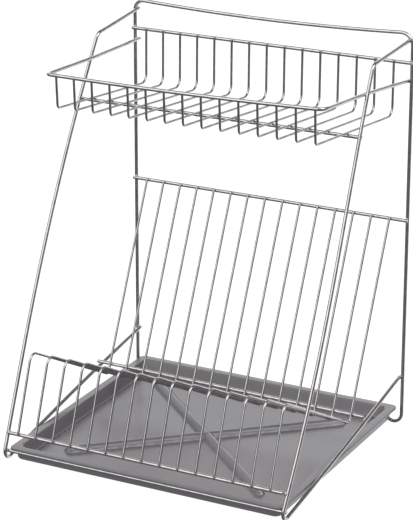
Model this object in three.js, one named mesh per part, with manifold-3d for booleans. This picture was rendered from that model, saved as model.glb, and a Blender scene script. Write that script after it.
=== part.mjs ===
// Two-tier dish drying rack: a welded steel wire frame with a cup basket on top,
// a plate rack below and a loose plastic drip tray at the bottom.
// Millimetres. +X is the user's right, -Y is the front, +Z is up.
// The origin is on the ground, under the middle of the rack.

import * as THREE from 'three';
import { mergeVertices } from 'three/addons/utils/BufferGeometryUtils.js';
import Module from 'manifold-3d';

// ---------------------------------------------------------------- driving dimensions

const FRAME_WIRE = 4.5;        // diameter of the frame, rail and bar wire
const THIN_WIRE = 2.8;         // diameter of the basket and plate wires
const WELD_GAP = 0.3;          // air left between two wires that are welded together

const POST_SPACING = 400;      // centre to centre of the two rear posts
const REAR_Y = 173.8;          // plane of the rear posts
const TOP_Z = 529;             // centre of the top rail at its ends
const TOP_SAG = 5;             // how far the top rail dips in the middle
const TOP_BEND = 13;           // centreline radius of the two top corners
const HOOK_BEND = 11.7;        // centreline radius of the curled rear feet
const HOOK_TIP_Z = 21.8;       // height of the curled feet's upturned ends
const HOOK_FLAT = 0.02;        // straight between the two bends of a curled foot

const SHOULDER_BEND = 11;      // side frame: bend between arm and leg
const FOOT_Y = -164;           // centre of the front foot's loop
const FOOT_BEND = 10;
const FOOT_X = 197.2;          // where the front feet stand, either side
const BRACE_TOP_Z = 66.5;      // where the brace from the foot meets the post

// The two side frames are bent by hand and differ a little: the arm's end on the post, the
// shoulder, how far the leg bows outwards and where along it, and how far the brace bows upwards.
const LEFT_SIDE = {
  side: -1, armX: 195, armZ: 517.5, shoulder: [191.5, 61.5, 508.3], legBow: 9, bowPlace: 0.9, braceBow: 3,
};
const RIGHT_SIDE = {
  side: 1, armX: 194.8, armZ: 519, shoulder: [195.2, 64, 512.6], legBow: 6.3, bowPlace: 1.5, braceBow: -2,
};

const BASKET_RAIL_Z = 492;     // rail that carries the back of the basket
const PLATE_RAIL_Z = 284;      // rail that carries the back of the plate rack
const RIM_BEND = 9;
const RIM_SAG = 2;             // how far the rim's front dips in the middle
const LEG_CROSSING_BEND = 300; // the slight bend where a side of the rim passes the leg
const RIM_CORNERS = [          // the rim's ends, its crossings with the legs and its front corners
  [-195.2, 176, 476.5],
  [-188.9, 45, 480],
  [-190.4, -67, 483.5],
  [190.4, -67, 487.5],
  [190.7, 48, 479.2],
  [195.2, 176, 467.5],
];

const WIRE_COUNT = 15;         // wires of the basket, and as many of the plate rack
const WIRE_PITCH = 25.5;

const SUPPORT_BAR_LEFT = [29.1, 428.2];    // ends of the bar under the basket, as [y, z]
const SUPPORT_BAR_RIGHT = [29.6, 429.6];
const SUPPORT_BAR_POKE = 3;    // how far its ends pass the side frames' centres
const LOW_BAR_LEFT = [64.3, 53];   // ends of the bar behind the plate wires, above their valleys
const LOW_BAR_RIGHT = [63, 50];
const FRONT_BAR = [-168.5, 37];    // centre of the plate rack's front bar, as [y, z]
const FRONT_BAR_SHORT = 1;     // how far its ends stop short of the side frames' centres
const TRAY_RAIL = [-169.2, 12.6];  // rail inside the foot loops that carries the tray, as [y, z]

const BASKET_REAR_BEND = [164.5, 421.7];    // corners of a basket wire, as [y, z]
const BASKET_FRONT_BEND = [-61, 440.7];
const BASKET_RISE = 0.7;       // how much higher the basket's floor is at the right than in the middle
const BASKET_REAR_RADIUS = 12;
const BASKET_FRONT_RADIUS = 6;

const PLATE_VALLEY = [54.5, 41.5];        // corners of a plate wire, as [y, z]
const PLATE_CREST = [-136, 138.8];
const PLATE_FOOT = [-172.8, 36.2];
const VALLEY_RADIUS = 5;
const CREST_RADIUS = 11;

const TRAY_WIDTH = 388;
const TRAY_LENGTH = 347;
const TRAY_HEIGHT = 17;
const TRAY_LIP = 11;           // width of the flat lip
const TRAY_SHEET = 2;          // thickness of the plastic
const TRAY_DRAFT = 6;          // how far the walls lean in from lip to floor
const TRAY_TILT = 1.2;         // degrees, higher at the back
const TRAY_FRONT_Y = -171.6;
const TRAY_FRONT_TOP_Z = 17.25;
const TRAY_CORNER = 8;         // radius of the lip's corners
const RIB_END = [141, 123];    // the crossed ribs run to this x and y either side
const RIB_WIDTH = 13;
const RIB_HEIGHT = 5.2;
const RIB_ROOT = 1.8;          // how deep a rib's underside is sunk into the floor

// ---------------------------------------------------------------- derived places

const HALF = POST_SPACING / 2;
const WIRE_STEP = FRAME_WIRE + WELD_GAP;                        // between two welded frame wires
const THIN_STEP = (FRAME_WIRE + THIN_WIRE) / 2 + WELD_GAP;      // a thin wire on a frame wire
const SIDE_X = HALF - WIRE_STEP;                                // a side frame's ends at the posts
const POST_FACE_X = HALF + FRAME_WIRE / 2;
const RAIL_Y = REAR_Y - WIRE_STEP;
const FOOT_Z = FOOT_BEND + FRAME_WIRE / 2;

const FRAME_SIDES = 10;
const THIN_SIDES = 8;
const BEND_STEP = Math.PI / 7;   // one station at least this often round a bend
const LONGEST_STEP = 75;         // one station at least this often along a bowed wire
const CORNER_STEPS = 5;          // facets round a corner of the tray
const RIB_CAP_STEPS = 3;
const RIB_SIDES = 12;
const MERGE_DISTANCE = 1e-4;     // vertices closer than this are one

// ---------------------------------------------------------------- materials

function steel() {
  return new THREE.MeshStandardMaterial({ color: 0xb9b8b5, metalness: 1, roughness: 0.28 });
}

function greyPlastic() {
  return new THREE.MeshStandardMaterial({ color: 0x7f7d82, metalness: 0, roughness: 0.38 });
}

// ---------------------------------------------------------------- wires

// A wire's centreline, given by the stations at which its section is drawn.
class WirePath extends THREE.Curve {
  constructor(stations) {
    super();
    this.stations = stations;
  }

  getPoint(t, target = new THREE.Vector3()) {
    const last = this.stations.length - 1;
    const place = THREE.MathUtils.clamp(t, 0, 1) * last;
    const index = Math.min(Math.floor(place), last - 1);
    return target.lerpVectors(this.stations[index], this.stations[index + 1], place - index);
  }

  getPointAt(u, target) {
    return this.getPoint(u, target);
  }

  getTangentAt(u, target = new THREE.Vector3()) {
    const last = this.stations.length - 1;
    const index = Math.round(u * last);
    const before = this.stations[Math.max(index - 1, 0)];
    const here = this.stations[index];
    const after = this.stations[Math.min(index + 1, last)];
    const arriving = here.clone().sub(before).normalize();
    const leaving = after.clone().sub(here).normalize();
    return target.addVectors(arriving, leaving).normalize();
  }
}

// Stations along straight runs joined by round bends. Each corner is a point with
// its bend radius; the first and last points have none.
function bentWire(corners) {
  const stations = [corners[0].point.clone()];
  for (let i = 1; i < corners.length - 1; i += 1) {
    const { point, radius } = corners[i];
    const back = corners[i - 1].point.clone().sub(point).normalize();
    const ahead = corners[i + 1].point.clone().sub(point).normalize();
    const turn = Math.PI - back.angleTo(ahead);
    const setback = radius * Math.tan(turn / 2);
    const inward = back.clone().add(ahead).normalize();
    const centre = point.clone().addScaledVector(inward, radius / Math.cos(turn / 2));
    const start = point.clone().addScaledVector(back, setback).sub(centre);
    const axis = new THREE.Vector3().crossVectors(ahead, back).normalize();
    const steps = Math.max(2, Math.ceil(turn / BEND_STEP));
    for (let k = 0; k <= steps; k += 1) {
      const spoke = start.clone().applyAxisAngle(axis, (turn * k) / steps);
      stations.push(spoke.add(centre));
    }
  }
  stations.push(corners[corners.length - 1].point.clone());
  return stations;
}

function corner(x, y, z, radius = 0) {
  return { point: new THREE.Vector3(x, y, z), radius };
}

// Adds stations so that no straight run is longer than the given length.
function subdivide(stations, longest) {
  const finer = [stations[0]];
  for (let i = 1; i < stations.length; i += 1) {
    const from = stations[i - 1];
    const parts = Math.max(1, Math.ceil(from.distanceTo(stations[i]) / longest));
    for (let k = 1; k <= parts; k += 1) {
      finer.push(from.clone().lerp(stations[i], k / parts));
    }
  }
  return finer;
}

function wireGeometry(stations, diameter, sides) {
  const outline = [];
  for (let i = 0; i < sides; i += 1) {
    const angle = (2 * Math.PI * (i + 0.5)) / sides;
    outline.push(new THREE.Vector2(Math.cos(angle), Math.sin(angle)).multiplyScalar(diameter / 2));
  }
  return new THREE.ExtrudeGeometry(new THREE.Shape(outline), {
    steps: stations.length - 1,
    bevelEnabled: false,
    extrudePath: new WirePath(stations),
  });
}

const rack = new THREE.Group();

function addWire(name, stations, diameter = FRAME_WIRE) {
  const sides = diameter === FRAME_WIRE ? FRAME_SIDES : THIN_SIDES;
  const mesh = new THREE.Mesh(wireGeometry(stations, diameter, sides), steel());
  mesh.name = name;
  rack.add(mesh);
}

// ---------------------------------------------------------------- frame

// Rear frame: an upside-down U whose posts curl inwards and up into hooks at the ground.
function rearFrame() {
  const hookX = HALF - 2 * HOOK_BEND;
  const hookRadius = HOOK_BEND - HOOK_FLAT / 2;
  const ground = FRAME_WIRE / 2;
  const stations = bentWire([
    corner(-hookX, REAR_Y, HOOK_TIP_Z),
    corner(-hookX, REAR_Y, ground, hookRadius),
    corner(-HALF, REAR_Y, ground, hookRadius),
    corner(-HALF, REAR_Y, TOP_Z, TOP_BEND),
    corner(HALF, REAR_Y, TOP_Z, TOP_BEND),
    corner(HALF, REAR_Y, ground, hookRadius),
    corner(hookX, REAR_Y, ground, hookRadius),
    corner(hookX, REAR_Y, HOOK_TIP_Z),
  ]);
  return subdivide(stations, LONGEST_STEP).map((station) => {
    const across = station.x / (HALF - TOP_BEND);
    const onTop = station.z > TOP_Z - TOP_BEND;
    return station.setZ(station.z - (onTop ? TOP_SAG * Math.max(0, 1 - across * across) : 0));
  });
}

// Side frame: arm from the top of the post, shoulder, leg, foot loop, brace back to the post.
function sideFrame({ side, armX, armZ, shoulder, legBow, bowPlace, braceBow }) {
  const [shoulderX, shoulderY, shoulderZ] = shoulder;
  const footCorner = footLoopCorner(shoulderY, shoulderZ);
  const stations = subdivide(bentWire([
    corner(0, REAR_Y + FRAME_WIRE / 2, armZ),
    corner(0, shoulderY, shoulderZ, SHOULDER_BEND),
    corner(0, footCorner.y, footCorner.z, FOOT_BEND),
    corner(0, REAR_Y, BRACE_TOP_Z),
  ]), LONGEST_STEP);
  const foot = stations.findIndex((station) => station.z < FOOT_Z);
  return stations.map((station, index) => {
    const down = THREE.MathUtils.clamp((shoulderZ - station.z) / (shoulderZ - FOOT_Z), 0, 1);
    const back = THREE.MathUtils.clamp((station.y - FOOT_Y) / (REAR_Y - FOOT_Y), 0, 1);
    if (index >= foot) {
      const x = THREE.MathUtils.lerp(FOOT_X, SIDE_X, back);
      return station.set(side * x, station.y, station.z + braceBow * Math.sin(Math.PI * back));
    }
    if (station.y > shoulderY) {
      const share = (station.y - shoulderY) / (REAR_Y - shoulderY);
      return station.setX(side * THREE.MathUtils.lerp(shoulderX, armX, share));
    }
    const bow = legBow * Math.sin(Math.PI * down ** bowPlace);
    return station.setX(side * (THREE.MathUtils.lerp(shoulderX, FOOT_X, down) + bow));
  });
}

// The sharp corner that the foot loop rounds off: where the leg's line meets the brace's line.
function footLoopCorner(shoulderY, shoulderZ) {
  const brace = new THREE.Vector2(REAR_Y - FOOT_Y, BRACE_TOP_Z - FRAME_WIRE / 2).normalize();
  const centre = new THREE.Vector2(FOOT_Y, FOOT_Z);
  const onBrace = centre.clone().add(new THREE.Vector2(brace.y, -brace.x).multiplyScalar(FOOT_BEND));
  const onLeg = new THREE.Vector2(shoulderY, shoulderZ);
  const toShoulder = onLeg.clone().sub(centre);
  const lean = Math.asin(FOOT_BEND / toShoulder.length());
  const leg = toShoulder.clone().rotateAround(new THREE.Vector2(), -lean).normalize();
  const gap = onLeg.clone().sub(onBrace);
  const along = gap.cross(leg) / brace.cross(leg);
  const meeting = onBrace.addScaledVector(brace, along);
  return { y: meeting.x, z: meeting.y };
}

addWire('rear_frame', rearFrame());
addWire('side_frame_left', sideFrame(LEFT_SIDE));
addWire('side_frame_right', sideFrame(RIGHT_SIDE));

// ---------------------------------------------------------------- rails and bars

// A straight bar across the rack between two ends, each given as [y, z].
function straightBar(halfLength, left, right = left) {
  return subdivide([
    new THREE.Vector3(-halfLength, ...left),
    new THREE.Vector3(halfLength, ...right),
  ], HALF);
}

addWire('basket_rear_rail', straightBar(POST_FACE_X, [RAIL_Y, BASKET_RAIL_Z]));
addWire('plate_rear_rail', straightBar(POST_FACE_X, [RAIL_Y, PLATE_RAIL_Z]));
addWire('basket_support_bar', straightBar(SIDE_X + SUPPORT_BAR_POKE, SUPPORT_BAR_LEFT, SUPPORT_BAR_RIGHT));
addWire('plate_low_bar', straightBar(HALF, LOW_BAR_LEFT, LOW_BAR_RIGHT));
addWire('plate_front_bar', straightBar(SIDE_X - FRONT_BAR_SHORT, FRONT_BAR));
addWire('tray_front_rail', straightBar(HALF, TRAY_RAIL));

// ---------------------------------------------------------------- cup basket

// Basket rim: a U whose sides meet the posts' inner faces and run inside the legs.
function basketRim() {
  const bends = [0, LEG_CROSSING_BEND, RIM_BEND, RIM_BEND, LEG_CROSSING_BEND, 0];
  const corners = RIM_CORNERS.map(([x, y, z], index) => corner(x, y, z, bends[index]));
  return subdivide(bentWire(corners), LONGEST_STEP).map((station) => {
    const atFront = station.y < BASKET_FRONT_BEND[0];
    return atFront ? station.setZ(station.z - rimSag(station.x)) : station;
  });
}

function rimSag(x) {
  const across = x / (RIM_CORNERS[3][0] - RIM_BEND);
  return RIM_SAG * Math.max(0, 1 - across * across);
}

// z of the rim's centreline along its front.
function rimFrontZ(x) {
  const [leftX, , leftZ] = RIM_CORNERS[2];
  const [rightX, , rightZ] = RIM_CORNERS[3];
  return leftZ + ((x - leftX) / (rightX - leftX)) * (rightZ - leftZ) - rimSag(x);
}

// Basket wire: down from the rear rail, forward along the floor, up to the rim.
function basketWire(x) {
  const rise = (BASKET_RISE * x) / HALF;
  return bentWire([
    corner(x, RAIL_Y - THIN_STEP, BASKET_RAIL_Z + THIN_WIRE / 2),
    corner(x, BASKET_REAR_BEND[0], BASKET_REAR_BEND[1] + rise, BASKET_REAR_RADIUS),
    corner(x, BASKET_FRONT_BEND[0], BASKET_FRONT_BEND[1] + rise, BASKET_FRONT_RADIUS),
    corner(x, RIM_CORNERS[2][1] + THIN_STEP, rimFrontZ(x)),
  ]);
}

// ---------------------------------------------------------------- plate rack

// Plate wire: down from the rear rail to a valley, forward to a crest, down to the front bar.
function plateWire(x) {
  return bentWire([
    corner(x, RAIL_Y - THIN_STEP, PLATE_RAIL_Z + THIN_WIRE / 2),
    corner(x, PLATE_VALLEY[0], PLATE_VALLEY[1], VALLEY_RADIUS),
    corner(x, PLATE_CREST[0], PLATE_CREST[1], CREST_RADIUS),
    corner(x, PLATE_FOOT[0], PLATE_FOOT[1]),
  ]);
}

addWire('basket_rim', basketRim());
for (let i = 0; i < WIRE_COUNT; i += 1) {
  const x = (i - (WIRE_COUNT - 1) / 2) * WIRE_PITCH;
  const number = String(i + 1).padStart(2, '0');
  addWire(`basket_wire_${number}`, basketWire(x), THIN_WIRE);
  addWire(`plate_wire_${number}`, plateWire(x), THIN_WIRE);
}

// ---------------------------------------------------------------- drip tray

const wasm = await Module();
wasm.setup();

function solid(geometry) {
  const bare = geometry.clone();
  bare.deleteAttribute('normal');
  bare.deleteAttribute('uv');
  const merged = mergeVertices(bare, MERGE_DISTANCE);
  return new wasm.Manifold(new wasm.Mesh({
    numProp: 3,
    vertProperties: new Float32Array(merged.attributes.position.array),
    triVerts: new Uint32Array(merged.index.array),
  }));
}

function geometryOf(manifold) {
  const mesh = manifold.getMesh();
  const geometry = new THREE.BufferGeometry();
  geometry.setAttribute('position', new THREE.BufferAttribute(new Float32Array(mesh.vertProperties), 3));
  geometry.setIndex(new THREE.BufferAttribute(new Uint32Array(mesh.triVerts), 1));
  geometry.computeVertexNormals();
  return geometry;
}

function roundedRectangle(halfWidth, halfLength, radius) {
  const shape = new THREE.Shape();
  const x = halfWidth - radius;
  const y = halfLength - radius;
  shape.absarc(x, y, radius, 0, Math.PI / 2);
  shape.absarc(-x, y, radius, Math.PI / 2, Math.PI);
  shape.absarc(-x, -y, radius, Math.PI, 1.5 * Math.PI);
  shape.absarc(x, -y, radius, 1.5 * Math.PI, 2 * Math.PI);
  return shape;
}

// A tub-shaped block from z = low to z = high whose walls lean out by the draft over its height.
function tubBlock(halfWidth, halfLength, radius, low, high, draft) {
  const shape = roundedRectangle(halfWidth, halfLength, radius);
  const geometry = new THREE.ExtrudeGeometry(shape, {
    depth: high - low,
    bevelEnabled: false,
    curveSegments: CORNER_STEPS,
  });
  const position = geometry.attributes.position;
  for (let i = 0; i < position.count; i += 1) {
    const lower = 1 - position.getZ(i) / (high - low);
    position.setX(i, position.getX(i) * (1 - (draft * lower) / halfWidth));
    position.setY(i, position.getY(i) * (1 - (draft * lower) / halfLength));
  }
  return geometry.translate(0, 0, low);
}

// One raised rib across the tray floor: a half-round bar with domed ends.
function rib(sign) {
  const [x, y] = RIB_END;
  const length = 2 * Math.hypot(x, y);
  const turn = sign * Math.atan2(y, x);
  const bar = new THREE.CapsuleGeometry(RIB_WIDTH / 2, length - RIB_WIDTH, RIB_CAP_STEPS, RIB_SIDES);
  bar.rotateZ(Math.PI / 2);
  bar.scale(1, 1, (2 * RIB_HEIGHT) / RIB_WIDTH);
  bar.rotateZ(turn);
  return bar.translate(0, 0, TRAY_SHEET);
}

function trayGeometry() {
  const halfWidth = TRAY_WIDTH / 2;
  const halfLength = TRAY_LENGTH / 2;
  const wallX = halfWidth - TRAY_LIP + TRAY_SHEET;
  const wallY = halfLength - TRAY_LIP + TRAY_SHEET;
  const lip = tubBlock(halfWidth, halfLength, TRAY_CORNER, TRAY_HEIGHT - TRAY_SHEET, TRAY_HEIGHT, 0);
  const outside = tubBlock(wallX, wallY, TRAY_CORNER + TRAY_SHEET, 0, TRAY_HEIGHT, TRAY_DRAFT);
  const hollow = tubBlock(
    wallX - TRAY_SHEET, wallY - TRAY_SHEET, TRAY_CORNER, TRAY_SHEET, TRAY_HEIGHT + TRAY_SHEET, TRAY_DRAFT);
  const aboveFloor = tubBlock(
    wallX - TRAY_DRAFT, wallY - TRAY_DRAFT, TRAY_CORNER, TRAY_SHEET - RIB_ROOT, TRAY_HEIGHT, 0);
  const ribs = solid(rib(1)).add(solid(rib(-1))).intersect(solid(aboveFloor));
  return geometryOf(solid(outside).add(solid(lip)).subtract(solid(hollow)).add(ribs));
}

const tray = new THREE.Mesh(trayGeometry(), greyPlastic());
tray.name = 'drip_tray';
tray.rotation.x = THREE.MathUtils.degToRad(TRAY_TILT);
const tilt = tray.rotation.x;
const frontTop = new THREE.Vector3(0, -TRAY_LENGTH / 2, TRAY_HEIGHT).applyEuler(tray.rotation);
tray.position.set(0, TRAY_FRONT_Y - frontTop.y, TRAY_FRONT_TOP_Z - frontTop.z);
rack.add(tray);

export default rack;
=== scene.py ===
"""The dish drying rack's looks: smooth drawn-steel wires with weld beads, and a moulded drip tray.

Lengths in this script are millimetres until a mesh is made; Blender's own units are metres.
+X is right, -Y is the front, +Z is up, and the origin is on the ground under the rack.
"""

import math

import bpy
import numpy as np
from mathutils import Matrix, Vector


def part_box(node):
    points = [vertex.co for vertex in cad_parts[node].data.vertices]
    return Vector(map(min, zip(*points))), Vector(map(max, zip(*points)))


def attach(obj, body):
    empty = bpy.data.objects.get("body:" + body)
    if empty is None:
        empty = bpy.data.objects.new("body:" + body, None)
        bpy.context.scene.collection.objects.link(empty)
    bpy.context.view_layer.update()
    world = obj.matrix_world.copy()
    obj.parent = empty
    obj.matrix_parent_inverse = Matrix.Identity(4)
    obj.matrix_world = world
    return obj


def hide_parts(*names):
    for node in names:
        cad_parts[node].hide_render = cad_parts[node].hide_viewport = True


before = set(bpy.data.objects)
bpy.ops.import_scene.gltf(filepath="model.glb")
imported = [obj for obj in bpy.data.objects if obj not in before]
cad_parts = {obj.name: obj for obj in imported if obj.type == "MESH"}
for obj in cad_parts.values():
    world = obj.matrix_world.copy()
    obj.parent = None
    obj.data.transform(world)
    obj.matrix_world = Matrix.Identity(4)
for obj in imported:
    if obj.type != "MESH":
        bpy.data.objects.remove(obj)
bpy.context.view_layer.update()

MM = 0.001
TRAY_BODY = "tray"
RACK_BODY = "rack"

# ---------------------------------------------------------------- camera

CAMERA_AZIMUTH = math.radians(28.0)       # from the front, towards the right
CAMERA_ELEVATION = math.radians(19.12)
CAMERA_ROLL = math.radians(0.09)
CAMERA_DISTANCE = 3025.8
CAMERA_TARGET = Vector((-12.5, 23.8, 240.3))
CAMERA_LENS = 164.03


def make_camera():
    data = bpy.data.cameras.new("camera")
    data.lens = CAMERA_LENS
    data.clip_end = 50
    camera = bpy.data.objects.new("camera", data)
    bpy.context.scene.collection.objects.link(camera)
    level = math.cos(CAMERA_ELEVATION)
    away = Vector((
        math.sin(CAMERA_AZIMUTH) * level,
        -math.cos(CAMERA_AZIMUTH) * level,
        math.sin(CAMERA_ELEVATION),
    ))
    camera.location = (CAMERA_TARGET + away * CAMERA_DISTANCE) * MM
    look = (-away).to_track_quat("-Z", "Y").to_matrix()
    camera.rotation_euler = (look @ Matrix.Rotation(CAMERA_ROLL, 3, "Z")).to_euler()
    bpy.context.scene.camera = camera


make_camera()

# ---------------------------------------------------------------- sizes, from the frame where it has them


def node_box(node):
    low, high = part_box(node)
    return low / MM, high / MM


def bar_line(node):
    """Half length, y and z of a straight bar that runs across the rack."""
    low, high = node_box(node)
    return high.x, (low.y + high.y) / 2, (low.z + high.z) / 2


CAD_WIRE = 4.5            # the frame's wire, drawn a weld gap thinner than the real one
FRAME_WIRE = 4.8          # diameters
RACK_WIRE = 3.2
WELD_SINK = 0.35          # how far two welded wires sink into each other

REAR_LOW, REAR_HIGH = node_box("rear_frame")
HALF = REAR_HIGH.x - CAD_WIRE / 2               # post centres
REAR_Y = (REAR_LOW.y + REAR_HIGH.y) / 2
TOP_Z = REAR_HIGH.z - CAD_WIRE / 2
TOP_SAG = 5
TOP_BENDS = (13, 16)      # the left and the right top corner
HOOK_BEND = 11.7
HOOK_TIP_Z = 21.8

SHOULDER_BEND = 11
FOOT_Y = -164             # centre of the front foot's loop
FOOT_BEND = 10
FOOT_Z = FOOT_BEND + FRAME_WIRE / 2
FOOT_X = 197.2
BRACE_TOP_Z = 66.5
BRACE_X = 195.6           # where a side frame's ends are welded to the posts' inner faces

# The side frames are bent by hand and differ: arm's end, shoulder corner as (x, y, z),
# how far and where the leg bows outwards, and how far the brace bows upwards.
LEFT_SIDE = {
    "side": -1, "arm_z": 518, "shoulder": (191.5, 61.5, 508.3), "bow": 9, "bow_place": 0.9, "brace_bow": 3,
}
RIGHT_SIDE = {
    "side": 1, "arm_z": 520, "shoulder": (195.2, 64, 512.6), "bow": 6.3, "bow_place": 1.5, "brace_bow": -2,
}

RIM_SAG = 2
RIM_CORNERS = (           # (x, y, z, bend): ends on the posts, crossings with the legs, front corners
    (-195.6, 178, 476.5, 0),
    (-189.7, 45, 480, 300),
    (-190.4, -67, 483.5, 7),
    (190.4, -67, 487.5, 12),
    (191.4, 48, 479.2, 300),
    (195.6, 176, 467.5, 0),
)

WIRE_COUNT = 15
WIRE_PITCH = 25.5
BASKET_REAR_BEND = (164.5, 421.7)    # corners of a basket wire, as (y, z)
BASKET_FRONT_BEND = (-61, 440.7)
BASKET_RISE = 0.7         # how much higher the basket's floor is at the right than in the middle
BASKET_REAR_RADIUS = 12
BASKET_FRONT_RADIUS = 6
PLATE_VALLEY = (54.5, 41.5)          # corners of a plate wire, as (y, z)
PLATE_CREST = (-136, 138.8)
PLATE_FOOT = (-172.6, 36.4)
VALLEY_RADIUS = 5
CREST_RADIUS = 11

BASKET_RAIL = bar_line("basket_rear_rail")
PLATE_RAIL = bar_line("plate_rear_rail")
FRONT_BAR = bar_line("plate_front_bar")
TRAY_RAIL = bar_line("tray_front_rail")
LOW_BAR_ENDS = ((-200, 63.9, 53), (194.5, 62.6, 50))
SUPPORT_BAR_ENDS = ((-198.2, 29.3, 428.5), (198.2, 29.7, 430))

ON_FRAME_WIRE = (FRAME_WIRE + RACK_WIRE) / 2 - WELD_SINK   # thin wire's centre off a thick one's

# ---------------------------------------------------------------- paths

BEND_STEP = math.radians(9)
RUN_STEP = 12             # longest straight step


def bent_path(corners):
    """Points along straight runs joined by round bends. A corner is (x, y, z, radius)."""
    spots = [Vector(c[:3]) for c in corners]
    points = [spots[0]]
    for i in range(1, len(corners) - 1):
        here, radius = spots[i], corners[i][3]
        back = (spots[i - 1] - here).normalized()
        ahead = (spots[i + 1] - here).normalized()
        turn = math.pi - back.angle(ahead)
        centre = here + (back + ahead).normalized() * (radius / math.cos(turn / 2))
        spoke = here + back * radius * math.tan(turn / 2) - centre
        axis = ahead.cross(back).normalized()
        steps = max(3, math.ceil(turn / BEND_STEP))
        for k in range(steps + 1):
            points.append(centre + Matrix.Rotation(turn * k / steps, 3, axis) @ spoke)
    points.append(spots[-1])
    return fill_runs(points)


def fill_runs(points):
    filled = [points[0]]
    for start, end in zip(points, points[1:]):
        parts = max(1, math.ceil((end - start).length / RUN_STEP))
        filled += [start.lerp(end, k / parts) for k in range(1, parts + 1)]
    return filled


def sag(x, half_run):
    """One in the middle of a run, falling to nothing at its ends."""
    return max(0.0, 1 - (x / half_run) ** 2)


def rear_frame_path():
    hook_x = HALF - 2 * HOOK_BEND
    ground = FRAME_WIRE / 2
    bend = HOOK_BEND - 0.01
    left_bend, right_bend = TOP_BENDS
    hook = [(hook_x, HOOK_TIP_Z, 0), (hook_x, ground, bend), (HALF, ground, bend)]
    left = [(-x, REAR_Y, z, r) for x, z, r in hook + [(HALF, TOP_Z, left_bend)]]
    right = [(x, REAR_Y, z, r) for x, z, r in hook + [(HALF, TOP_Z, right_bend)]]
    points = bent_path(left + right[::-1])
    for p in points:
        if p.z > TOP_Z - left_bend:
            p.z -= TOP_SAG * sag(p.x, HALF - left_bend)
    return points


def foot_corner(shoulder):
    """The sharp corner that the foot loop rounds off: where the leg's line meets the brace's."""
    centre = Vector((FOOT_Y, FOOT_Z))
    brace = Vector((REAR_Y - FOOT_Y, BRACE_TOP_Z - FRAME_WIRE / 2)).normalized()
    on_brace = centre + Vector((brace.y, -brace.x)) * FOOT_BEND
    to_shoulder = shoulder - centre
    lean = math.asin(FOOT_BEND / to_shoulder.length)
    leg = Matrix.Rotation(-lean, 2) @ to_shoulder.normalized()
    gap = shoulder - on_brace
    along = (gap.x * leg.y - gap.y * leg.x) / (brace.x * leg.y - brace.y * leg.x)
    return on_brace + brace * along


def side_frame_path(side, arm_z, shoulder, bow, bow_place, brace_bow):
    shoulder_x, shoulder_y, shoulder_z = shoulder
    foot = foot_corner(Vector((shoulder_y, shoulder_z)))
    points = bent_path([
        (0, REAR_Y + FRAME_WIRE / 2, arm_z, 0),
        (0, shoulder_y, shoulder_z, SHOULDER_BEND),
        (0, foot.x, foot.y, FOOT_BEND),
        (0, REAR_Y, BRACE_TOP_Z, 0),
    ])
    first_of_foot = next(i for i, p in enumerate(points) if p.z < FOOT_Z)
    for i, p in enumerate(points):
        down = min(max((shoulder_z - p.z) / (shoulder_z - FOOT_Z), 0), 1)
        back = min(max((p.y - FOOT_Y) / (REAR_Y - FOOT_Y), 0), 1)
        if i >= first_of_foot:
            p.x = side * (FOOT_X + (BRACE_X - FOOT_X) * back)
            p.z += brace_bow * math.sin(math.pi * back)
        elif p.y > shoulder_y:
            share = (p.y - shoulder_y) / (REAR_Y - shoulder_y)
            p.x = side * (shoulder_x + (BRACE_X - shoulder_x) * share)
        else:
            outward = (FOOT_X - shoulder_x) * down
            p.x = side * (shoulder_x + outward + bow * math.sin(math.pi * down ** bow_place))
    return points


def bar_path(ends):
    return fill_runs([Vector(end) for end in ends])


def straight_path(line):
    half_length, y, z = line
    return bar_path(((-half_length, y, z), (half_length, y, z)))


def rim_sag(x):
    return RIM_SAG * sag(x, RIM_CORNERS[3][0] - RIM_CORNERS[3][3])


def rim_path():
    points = bent_path(RIM_CORNERS)
    for p in points:
        if p.y < BASKET_FRONT_BEND[0]:
            p.z -= rim_sag(p.x)
    return points


def basket_wire_path(x):
    rise = BASKET_RISE * x / HALF
    left_x, front_y, left_z, _ = RIM_CORNERS[2]
    right_x, _, right_z, _ = RIM_CORNERS[3]
    rim_z = left_z + (right_z - left_z) * (x - left_x) / (right_x - left_x) - rim_sag(x)
    return bent_path([
        (x, BASKET_RAIL[1] - ON_FRAME_WIRE, BASKET_RAIL[2] + FRAME_WIRE / 2, 0),
        (x, BASKET_REAR_BEND[0], BASKET_REAR_BEND[1] + rise, BASKET_REAR_RADIUS),
        (x, BASKET_FRONT_BEND[0], BASKET_FRONT_BEND[1] + rise, BASKET_FRONT_RADIUS),
        (x, front_y + ON_FRAME_WIRE, rim_z + RACK_WIRE / 2, 0),
    ])


def plate_wire_path(x):
    return bent_path([
        (x, PLATE_RAIL[1] - ON_FRAME_WIRE, PLATE_RAIL[2] + FRAME_WIRE / 2, 0),
        (x, *PLATE_VALLEY, VALLEY_RADIUS),
        (x, *PLATE_CREST, CREST_RADIUS),
        (x, *PLATE_FOOT, 0),
    ])


# ---------------------------------------------------------------- wire meshes

SIDES_FRAME = 24
SIDES_RACK = 18
END_STEPS = 4             # rings in the rounded end of a cut wire
END_DOME = 0.45           # how far that end is rounded over, in radii


def add_object(name, verts, faces, material, smooth=True):
    mesh = bpy.data.meshes.new(name)
    mesh.from_pydata([tuple(Vector(v) * MM) for v in verts], [], faces)
    mesh.validate()
    piece = bpy.data.objects.new(name, mesh)
    bpy.context.scene.collection.objects.link(piece)
    mesh.materials.append(material)
    mesh.polygons.foreach_set("use_smooth", [smooth] * len(mesh.polygons))
    return piece


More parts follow.
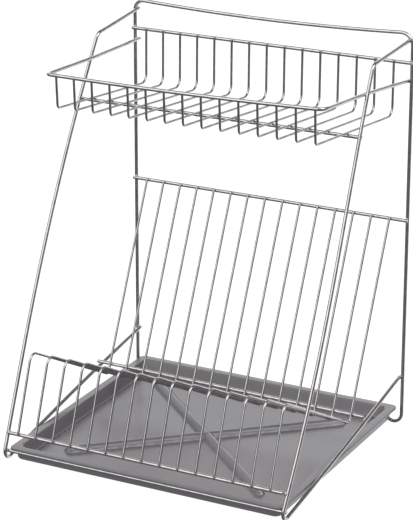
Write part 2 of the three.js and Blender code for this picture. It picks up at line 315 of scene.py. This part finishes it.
def tube(name, points, diameter, sides, material):
    """A round wire along the points, closed, with both cut ends rounded over."""
    radius = diameter / 2
    dome = END_DOME * radius
    way_in = (points[1] - points[0]).normalized()
    way_out = (points[-1] - points[-2]).normalized()
    arcs = [math.pi / 2 * k / END_STEPS for k in range(END_STEPS + 1)]
    rounds = [(dome * (1 - math.sin(a)), radius - dome * (1 - math.cos(a))) for a in arcs]
    head = [(points[0] + way_in * inset, r) for inset, r in reversed(rounds)]
    tail = [(points[-1] - way_out * inset, r) for inset, r in rounds]
    centres = [c for c, _ in head] + list(points[1:-1]) + [c for c, _ in tail]
    radii = [r for _, r in head] + [radius] * (len(points) - 2) + [r for _, r in tail]

    verts, along, faces, ways = [], [], [], []
    for i in range(len(centres)):
        before = centres[i] - centres[i - 1] if i else way_in
        after = centres[i + 1] - centres[i] if i < len(centres) - 1 else way_out
        ways.append((before.normalized() + after.normalized()).normalized())
    across = ways[0].orthogonal().normalized()
    travelled = 0.0
    for i, (centre, size, way) in enumerate(zip(centres, radii, ways)):
        if i:
            across = (across - way * across.dot(way)).normalized()
            travelled += (centre - centres[i - 1]).length
        other = way.cross(across)
        for k in range(sides):
            angle = 2 * math.pi * k / sides
            spoke = across * math.cos(angle) + other * math.sin(angle)
            verts.append(centre + spoke * size)
            along.append((math.cos(angle) * radius, math.sin(angle) * radius, travelled))
    for i in range(len(centres) - 1):
        for k in range(sides):
            a, b = i * sides + k, i * sides + (k + 1) % sides
            faces.append((a, b, b + sides, a + sides))
    faces.append(tuple(reversed(range(sides))))
    faces.append(tuple(range(len(verts) - sides, len(verts))))
    piece = add_object(name, verts, faces, material)
    layer = piece.data.attributes.new("wire", "FLOAT_VECTOR", "POINT")
    layer.data.foreach_set("vector", [value for triple in along for value in triple])
    return piece


def wire(node, points, material, diameter=FRAME_WIRE):
    """Makes the smooth wire that stands in for a CAD wire, and hands its path on for the welds."""
    sides = SIDES_FRAME if diameter == FRAME_WIRE else SIDES_RACK
    piece = tube(node + "_smooth", points, diameter, sides, material)
    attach(piece, RACK_BODY)
    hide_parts(node)
    return points


# ---------------------------------------------------------------- welds

BEAD_RINGS = 8
BEAD_SIDES = 12
PATH_STEP = 0.5           # spacing of the points compared when two wires' contact is sought
THIN_BEAD = (2.3, 1.3, 1.2)      # half sizes along the thicker wire, across it and through the contact
FRAME_BEAD = (3.2, 2.1, 1.7)


def fine_points(path, side):
    """Evenly spaced points of a path, only those on one side of the rack if a side is given."""
    corners = np.array([tuple(p) for p in path])
    reach = np.concatenate([[0], np.cumsum(np.linalg.norm(np.diff(corners, axis=0), axis=1))])
    places = np.linspace(0, reach[-1], int(reach[-1] / PATH_STEP) + 2)
    points = np.stack([np.interp(places, reach, corners[:, k]) for k in range(3)], axis=1)
    return points[points[:, 0] * side >= 0]


def contact(first, second, side=0):
    """Nearest points of two wires' paths, and the direction of the second one there."""
    a, b = fine_points(first, side), fine_points(second, side)
    gaps = np.linalg.norm(a[:, None] - b[None], axis=2)
    i, j = np.unravel_index(gaps.argmin(), gaps.shape)
    ahead, behind = b[min(j + 1, len(b) - 1)], b[max(j - 1, 0)]
    return Vector(a[i]), Vector(b[j]), Vector(ahead - behind).normalized()


def bead(first, second, way, first_diameter, sizes, seed):
    """One weld: an uneven lump squeezed out where two wires touch."""
    through = (first - second).normalized()
    across = way.cross(through).normalized()
    centre = second.lerp(first, FRAME_WIRE / (FRAME_WIRE + first_diameter))
    half_long, half_across, half_through = sizes
    verts = [centre + way * half_long]
    for i in range(1, BEAD_RINGS):
        tilt = math.pi * i / BEAD_RINGS
        for k in range(BEAD_SIDES):
            turn = 2 * math.pi * k / BEAD_SIDES
            swell = 1 + 0.10 * math.sin(2 * turn + seed) + 0.08 * math.sin(3 * tilt + 1.7 * seed)
            verts.append(
                centre
                + way * half_long * math.cos(tilt) * (1 + 0.08 * math.sin(turn + 2.3 * seed) * math.sin(tilt))
                + across * half_across * math.sin(tilt) * math.cos(turn) * swell
                + through * half_through * math.sin(tilt) * math.sin(turn) * swell
            )
    verts.append(centre - way * half_long)
    last = len(verts) - 1
    faces = []
    for k in range(BEAD_SIDES):
        after = (k + 1) % BEAD_SIDES
        faces.append((0, 1 + k, 1 + after))
        for i in range(BEAD_RINGS - 2):
            low, high = 1 + i * BEAD_SIDES, 1 + (i + 1) * BEAD_SIDES
            faces.append((low + k, high + k, high + after, low + after))
        high = 1 + (BEAD_RINGS - 2) * BEAD_SIDES
        faces.append((high + k, last, high + after))
    return verts, faces


def make_welds(contacts):
    """All welds as one piece. Each entry is (nearest points and direction, diameter, half sizes)."""
    verts, faces = [], []
    for number, (touch, diameter, sizes) in enumerate(contacts):
        new_verts, new_faces = bead(*touch, diameter, sizes, 0.9 * number)
        faces += [tuple(v + len(verts) for v in face) for face in new_faces]
        verts += new_verts
    piece = add_object("weld_beads", verts, faces, WELD_STEEL)
    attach(piece, RACK_BODY)


# ---------------------------------------------------------------- materials


def new_material(name):
    material = bpy.data.materials.new(name)
    material.use_nodes = True
    tree = material.node_tree
    return material, tree, tree.nodes["Principled BSDF"]


def add_noise(tree, vector, scale, detail=2.0, roughness=0.5):
    noise = tree.nodes.new("ShaderNodeTexNoise")
    noise.inputs["Scale"].default_value = scale
    noise.inputs["Detail"].default_value = detail
    noise.inputs["Roughness"].default_value = roughness
    tree.links.new(vector, noise.inputs["Vector"])
    return noise.outputs["Fac"]


def add_range(tree, value, low, high):
    span = tree.nodes.new("ShaderNodeMapRange")
    span.interpolation_type = "SMOOTHSTEP"
    span.inputs["From Min"].default_value = 0.3
    span.inputs["From Max"].default_value = 0.7
    span.inputs["To Min"].default_value = low
    span.inputs["To Max"].default_value = high
    tree.links.new(value, span.inputs["Value"])
    return span.outputs["Result"]


def add_colour_mix(tree, value, first, second):
    mix = tree.nodes.new("ShaderNodeMix")
    mix.data_type = "RGBA"
    mix.inputs["A"].default_value = (*first, 1)
    mix.inputs["B"].default_value = (*second, 1)
    tree.links.new(value, mix.inputs["Factor"])
    return mix.outputs["Result"]


def add_bump(tree, height, strength, distance, normal=None):
    bump = tree.nodes.new("ShaderNodeBump")
    bump.inputs["Strength"].default_value = strength
    bump.inputs["Distance"].default_value = distance
    tree.links.new(height, bump.inputs["Height"])
    if normal:
        tree.links.new(normal, bump.inputs["Normal"])
    return bump.outputs["Normal"]


def steel_material(name, dark, light):
    """Bright drawn wire: fine die lines along its length, and slow changes of polish."""
    material, tree, shader = new_material(name)
    lines = tree.nodes.new("ShaderNodeAttribute")
    lines.attribute_name = "wire"
    stretched = tree.nodes.new("ShaderNodeMapping")
    stretched.inputs["Scale"].default_value = (1.6, 1.6, 0.05)
    tree.links.new(lines.outputs["Vector"], stretched.inputs["Vector"])
    die_lines = add_noise(tree, stretched.outputs["Vector"], 2.0, 3.0)
    slow = tree.nodes.new("ShaderNodeMapping")
    slow.inputs["Scale"].default_value = (0.3, 0.3, 0.12)
    tree.links.new(lines.outputs["Vector"], slow.inputs["Vector"])
    polish = add_noise(tree, slow.outputs["Vector"], 1.0, 2.0)
    colour = add_colour_mix(tree, add_range(tree, polish, 0, 1), dark, light)
    tree.links.new(colour, shader.inputs["Base Color"])
    tree.links.new(add_range(tree, die_lines, 0.16, 0.27), shader.inputs["Roughness"])
    ripple = add_bump(tree, polish, 0.25, 0.0002)
    tree.links.new(add_bump(tree, die_lines, 0.25, 0.00003, ripple), shader.inputs["Normal"])
    shader.inputs["Metallic"].default_value = 1
    return material


def weld_material():
    """Welds: the same steel, a little duller and heat-tinted."""
    material, tree, shader = new_material("weld_steel")
    place = tree.nodes.new("ShaderNodeTexCoord")
    grain = add_noise(tree, place.outputs["Object"], 900, 3.0)
    colour = add_colour_mix(tree, add_range(tree, grain, 0, 1), (0.42, 0.41, 0.40), (0.62, 0.61, 0.60))
    tree.links.new(colour, shader.inputs["Base Color"])
    tree.links.new(add_range(tree, grain, 0.25, 0.45), shader.inputs["Roughness"])
    tree.links.new(add_bump(tree, grain, 0.3, 0.0001), shader.inputs["Normal"])
    shader.inputs["Metallic"].default_value = 1
    return material


def tray_material():
    """Grey moulded plastic with a soft sheen and slight mottling."""
    material, tree, shader = new_material("tray_plastic")
    place = tree.nodes.new("ShaderNodeTexCoord")
    mottle = add_noise(tree, place.outputs["Object"], 9, 1.0)
    colour = add_colour_mix(tree, add_range(tree, mottle, 0, 1), (0.132, 0.124, 0.138), (0.136, 0.128, 0.142))
    tree.links.new(colour, shader.inputs["Base Color"])
    tree.links.new(add_range(tree, mottle, 0.26, 0.27), shader.inputs["Roughness"])
    shader.inputs["Specular IOR Level"].default_value = 1.0
    return material


FRAME_STEEL = steel_material("frame_steel", (0.50, 0.475, 0.48), (0.62, 0.59, 0.595))
# The thin rack wires are the same steel as the frame, painted darker: painted shade for the dim surroundings
# they reflect.
SHADED_RACK_STEEL = steel_material("rack_steel_painted_shade", (0.42, 0.40, 0.405), (0.54, 0.515, 0.52))
WELD_STEEL = weld_material()
TRAY_PLASTIC = tray_material()

# ---------------------------------------------------------------- the rack

rear_frame = wire("rear_frame", rear_frame_path(), FRAME_STEEL)
sides = {
    -1: wire("side_frame_left", side_frame_path(**LEFT_SIDE), FRAME_STEEL),
    1: wire("side_frame_right", side_frame_path(**RIGHT_SIDE), FRAME_STEEL),
}
basket_rail = wire("basket_rear_rail", straight_path(BASKET_RAIL), FRAME_STEEL)
plate_rail = wire("plate_rear_rail", straight_path(PLATE_RAIL), FRAME_STEEL)
support_bar = wire("basket_support_bar", bar_path(SUPPORT_BAR_ENDS), FRAME_STEEL)
low_bar = wire("plate_low_bar", bar_path(LOW_BAR_ENDS), FRAME_STEEL)
front_bar = wire("plate_front_bar", straight_path(FRONT_BAR), FRAME_STEEL)
tray_rail = wire("tray_front_rail", straight_path(TRAY_RAIL), FRAME_STEEL)
rim = wire("basket_rim", rim_path(), FRAME_STEEL)

welds = []
for side, side_frame in sides.items():
    for bar in (basket_rail, plate_rail, rim):
        welds.append((contact(bar, rear_frame, side), FRAME_WIRE, FRAME_BEAD))
    for bar in (support_bar, low_bar, front_bar, tray_rail, rim):
        welds.append((contact(bar, side_frame, side), FRAME_WIRE, FRAME_BEAD))
    half = len(side_frame) // 2
    for end in (side_frame[:half], side_frame[half:]):
        welds.append((contact(end, rear_frame, side), FRAME_WIRE, FRAME_BEAD))
for number in range(WIRE_COUNT):
    wire_x = (number - (WIRE_COUNT - 1) / 2) * WIRE_PITCH
    label = f"{number + 1:02d}"
    path = wire(f"basket_wire_{label}", basket_wire_path(wire_x), SHADED_RACK_STEEL, RACK_WIRE)
    for bar in (basket_rail, support_bar, rim):
        welds.append((contact(path, bar), RACK_WIRE, THIN_BEAD))
    path = wire(f"plate_wire_{label}", plate_wire_path(wire_x), SHADED_RACK_STEEL, RACK_WIRE)
    for bar in (plate_rail, low_bar, front_bar):
        welds.append((contact(path, bar), RACK_WIRE, THIN_BEAD))
make_welds(welds)

# ---------------------------------------------------------------- drip tray

TRAY_WIDTH = 388
TRAY_LENGTH = 347
TRAY_HEIGHT = 17
TRAY_LIP = 11
TRAY_SHEET = 2
TRAY_DRAFT = 6
TRAY_FOOT_OUT = 10.5      # how far the outer wall's foot stands outside the inner wall's
TRAY_TILT = math.radians(1.2)
TRAY_CORNER = 8
RIB_END = Vector((141, 123))
RIB_WIDTH = 14.5
RIB_HEIGHT = 7
RIB_FOOT_SLOPE = 12       # how steeply a rib's side leaves the floor
FLOOR_STEP = 1.6          # size of a face on the tray floor
FLOOR_INSET = 3.0         # width of the plain border between the floor's grid and the wall's foot
CORNER_FACES = 8          # faces round a quarter circle, even
HAIR = 1e-6               # lengths below this count as nothing

FLOOR_HALF = (
    TRAY_WIDTH / 2 - TRAY_LIP - TRAY_DRAFT,
    TRAY_LENGTH / 2 - TRAY_LIP - TRAY_DRAFT,
)


def rib_height(x, y):
    """Height of the two crossed ribs above the tray floor."""
    height = 0.0
    for sign in (-1, 1):
        end = Vector((RIB_END.x, sign * RIB_END.y))
        reach = end.length - RIB_WIDTH / 2
        way = end.normalized()
        along = x * way.x + y * way.y
        aside = x * way.y - y * way.x
        beyond = max(abs(along) - reach, 0)
        off = math.hypot(aside, beyond) / (RIB_WIDTH / 2)
        if off < 1:
            foot = min(1, (1 - off) * RIB_FOOT_SLOPE) ** 0.5
            height = max(height, RIB_HEIGHT * math.sqrt(1 - off * off) * foot)
    return height


def grid_lines(half, radius):
    """Places of the floor's grid lines: fine steps over the corner, even steps between."""
    inner = half - radius
    steps = 2 * round(inner / FLOOR_STEP)
    middle = [-inner + 2 * inner * k / steps for k in range(steps + 1)]
    edge = [radius * k / (CORNER_FACES / 2) for k in range(1, CORNER_FACES // 2 + 1)]
    return [-inner - e for e in reversed(edge)] + middle + [inner + e for e in edge]


def round_corner(x, y, half_x, half_y, radius):
    """Moves a point of the square-cornered grid to its place in the round-cornered floor."""
    a = (abs(x) - (half_x - radius)) / radius
    b = (abs(y) - (half_y - radius)) / radius
    if a <= 0 or b <= 0:
        return x, y
    reach = max(a, b) * radius
    angle = math.pi / 4 * (b / a if a >= b else 2 - a / b)
    return (
        math.copysign(half_x - radius + reach * math.cos(angle), x),
        math.copysign(half_y - radius + reach * math.sin(angle), y),
    )


def ring_point(x, y, offset):
    """A point of the floor's edge, moved out by an offset to a wider ring with the same corners."""
    half_x, half_y = FLOOR_HALF
    radius = TRAY_CORNER
    out_x, out_y = half_x + offset, half_y + offset
    a = abs(x) - (half_x - radius)
    b = abs(y) - (half_y - radius)
    if a > HAIR and b > HAIR:
        angle = math.atan2(b, a)
        px = out_x - radius + radius * math.cos(angle)
        py = out_y - radius + radius * math.sin(angle)
        return math.copysign(px, x), math.copysign(py, y)
    if b <= HAIR:
        return math.copysign(out_x, x), y * (out_y - radius) / (half_y - radius)
    return x * (out_x - radius) / (half_x - radius), math.copysign(out_y, y)


def tray_profile():
    """The wall and lip in section, from the floor's edge round to the underside, as (offset, z)."""
    top = TRAY_HEIGHT
    under_lip = TRAY_HEIGHT - TRAY_SHEET
    reach = TRAY_LIP + TRAY_DRAFT
    section = bent_path([
        (-FLOOR_INSET, 0, TRAY_SHEET, 0),
        (0.0, 0, TRAY_SHEET, 2.6),
        (TRAY_DRAFT, 0, top, 1.6),
        (reach, 0, top, 0.8),
        (reach, 0, under_lip - 1.2, 0.8),
        (reach - 2.0, 0, under_lip - 1.2, 0.6),
        (reach - 2.4, 0, under_lip, 0.6),
        (TRAY_FOOT_OUT + 0.6, 0, under_lip, 1.2),
        (TRAY_FOOT_OUT, 0, 0, 3.5),
        (-6.0, 0, 0, 0),
    ])
    return [(p.x, p.z) for p in section]


def tray_mesh():
    """The tray level, with the middle of its underside at the origin."""
    half_x, half_y = FLOOR_HALF[0] - FLOOR_INSET, FLOOR_HALF[1] - FLOOR_INSET
    xs = grid_lines(half_x, TRAY_CORNER)
    ys = grid_lines(half_y, TRAY_CORNER)
    verts, faces, spots = [], [], {}
    for i, gx in enumerate(xs):
        for j, gy in enumerate(ys):
            x, y = round_corner(gx, gy, half_x, half_y, TRAY_CORNER)
            spots[i, j] = len(verts)
            verts.append((x, y, TRAY_SHEET + rib_height(x, y)))
    for i in range(len(xs) - 1):
        for j in range(len(ys) - 1):
            faces.append((spots[i, j], spots[i + 1, j], spots[i + 1, j + 1], spots[i, j + 1]))
    last_x, last_y = len(xs) - 1, len(ys) - 1
    edge = [(i, 0) for i in range(last_x)] + [(last_x, j) for j in range(last_y)]
    edge += [(i, last_y) for i in range(last_x, 0, -1)] + [(0, j) for j in range(last_y, 0, -1)]
    ring = [spots[spot] for spot in edge]
    starts = [verts[v] for v in ring]
    for offset, z in tray_profile()[1:]:
        low_edge = len(verts)
        for x, y, _ in starts:
            verts.append((*ring_point(*edge_spot(x, y), offset), z))
        new_ring = list(range(low_edge, len(verts)))
        count = len(ring)
        for k in range(count):
            faces.append((ring[k], ring[(k + 1) % count], new_ring[(k + 1) % count], new_ring[k]))
        ring = new_ring
    faces.append(tuple(reversed(ring)))
    return verts, faces


def edge_spot(x, y):
    """The point of the floor's full edge that belongs to a point of its grid's edge."""
    half_x, half_y = FLOOR_HALF
    radius = TRAY_CORNER
    a = abs(x) - (half_x - FLOOR_INSET - radius)
    b = abs(y) - (half_y - FLOOR_INSET - radius)
    if a > HAIR and b > HAIR:
        return math.copysign(abs(x) + FLOOR_INSET, x), math.copysign(abs(y) + FLOOR_INSET, y)
    if b <= HAIR:
        return math.copysign(half_x, x), y * (half_y - radius) / (half_y - FLOOR_INSET - radius)
    return x * (half_x - radius) / (half_x - FLOOR_INSET - radius), math.copysign(half_y, y)


def make_tray():
    verts, faces = tray_mesh()
    tilt = Matrix.Rotation(TRAY_TILT, 3, "X")
    verts = [tilt @ Vector(v) for v in verts]
    cad_low, cad_high = node_box("drip_tray")
    top = max(v.z for v in verts)
    front = min(v.y for v in verts)
    shift = Vector((0, cad_low.y - front, cad_high.z - top))
    piece = add_object("drip_tray_smooth", [v + shift for v in verts], faces, TRAY_PLASTIC)
    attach(piece, TRAY_BODY)
    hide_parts("drip_tray")


make_tray()

# ---------------------------------------------------------------- floor and light

FLOOR_REACH = 12          # metres
FLOOR_GLOW = 0.96         # makes the floor as white as the backdrop
DIMMEST_REFLECTION = 0.17
DIMMEST_LIGHT = 0.25
BACKDROP = 1.0


def make_floor():
    mesh = bpy.data.meshes.new("floor")
    corners = [(x * FLOOR_REACH, y * FLOOR_REACH, 0) for x, y in ((-1, -1), (1, -1), (1, 1), (-1, 1))]
    mesh.from_pydata(corners, [], [(0, 1, 2, 3)])
    floor = bpy.data.objects.new("floor", mesh)
    bpy.context.scene.collection.objects.link(floor)
    material, _, shader = new_material("floor_white")
    shader.inputs["Base Color"].default_value = (0.15, 0.15, 0.15, 1)
    shader.inputs["Roughness"].default_value = 0.9
    shader.inputs["Emission Color"].default_value = (1, 1, 1, 1)
    shader.inputs["Emission Strength"].default_value = FLOOR_GLOW
    mesh.materials.append(material)
    floor.visible_glossy = False


def add_area_light(name, place, aim, size, power):
    data = bpy.data.lights.new(name, "AREA")
    data.shape = "RECTANGLE"
    data.size, data.size_y = size
    data.energy = power
    light = bpy.data.objects.new(name, data)
    light.location = place
    light.rotation_euler = (Vector(aim) - Vector(place)).to_track_quat("-Z", "Y").to_euler()
    light.visible_glossy = False
    bpy.context.scene.collection.objects.link(light)


def add_lobe(tree, direction, towards, outer, inner, strength):
    """A soft bright patch of sky: full inside one angle from its middle, gone beyond another."""
    facing = tree.nodes.new("ShaderNodeVectorMath")
    facing.operation = "DOT_PRODUCT"
    facing.inputs[1].default_value = Vector(towards).normalized()
    tree.links.new(direction, facing.inputs[0])
    patch = tree.nodes.new("ShaderNodeMapRange")
    patch.interpolation_type = "SMOOTHSTEP"
    patch.inputs["From Min"].default_value = math.cos(math.radians(outer))
    patch.inputs["From Max"].default_value = math.cos(math.radians(inner))
    patch.inputs["To Min"].default_value = 0
    patch.inputs["To Max"].default_value = strength
    tree.links.new(facing.outputs["Value"], patch.inputs["Value"])
    return patch.outputs["Result"]


def set_or_link(tree, value, socket):
    if isinstance(value, (int, float)):
        socket.default_value = value
    else:
        tree.links.new(value, socket)


def add_sum(tree, values, constant=0.0):
    """The sum of several outputs and a constant."""
    total = constant
    for value in values:
        step = tree.nodes.new("ShaderNodeMath")
        step.operation = "ADD"
        tree.links.new(value, step.inputs[0])
        set_or_link(tree, total, step.inputs[1])
        total = step.outputs["Value"]
    return total


def add_switch(tree, factor, off, on):
    choice = tree.nodes.new("ShaderNodeMix")
    choice.data_type = "FLOAT"
    tree.links.new(factor, choice.inputs["Factor"])
    set_or_link(tree, off, choice.inputs["A"])
    set_or_link(tree, on, choice.inputs["B"])
    return choice.outputs["Result"]


def make_world():
    """A white room. Reflections see it as a dim studio with a few soft bright patches."""
    world = bpy.data.worlds.new("studio")
    bpy.context.scene.world = world
    world.use_nodes = True
    tree = world.node_tree
    place = tree.nodes.new("ShaderNodeTexCoord")
    direction = place.outputs["Generated"]
    rays = tree.nodes.new("ShaderNodeLightPath")
    patches = [
        add_lobe(tree, direction, towards=(-0.2, -0.76, 0.62), outer=46, inner=22, strength=1.6),    # window
        add_lobe(tree, direction, towards=(0.35, 0.75, -0.56), outer=46, inner=18, strength=1.0),    # table
        add_lobe(tree, direction, towards=(-0.3, 0.9, 0.2), outer=38, inner=8, strength=1.25),       # wall
        add_lobe(tree, direction, towards=(0.66, -0.1, 0.74), outer=28, inner=14, strength=3.4),     # lamp
        add_lobe(tree, direction, towards=(-0.85, 0.3, 0.4), outer=35, inner=10, strength=1.0),      # fill
    ]
    reflected = add_sum(tree, patches, DIMMEST_REFLECTION)
    overcast = add_lobe(tree, direction, towards=(0, 0, 1), outer=85, inner=15, strength=0.65)
    diffuse = add_sum(tree, [overcast], DIMMEST_LIGHT)
    light = add_switch(tree, rays.outputs["Is Glossy Ray"], diffuse, reflected)
    seen = add_switch(tree, rays.outputs["Is Camera Ray"], light, BACKDROP)
    tree.links.new(seen, tree.nodes["Background"].inputs["Color"])


make_floor()
make_world()
add_area_light("softbox_above", place=(0.45, -0.2, 1.8), aim=(0, 0, 0.1), size=(1.1, 1.1), power=22)
bpy.context.scene.view_settings.view_transform = "Standard"
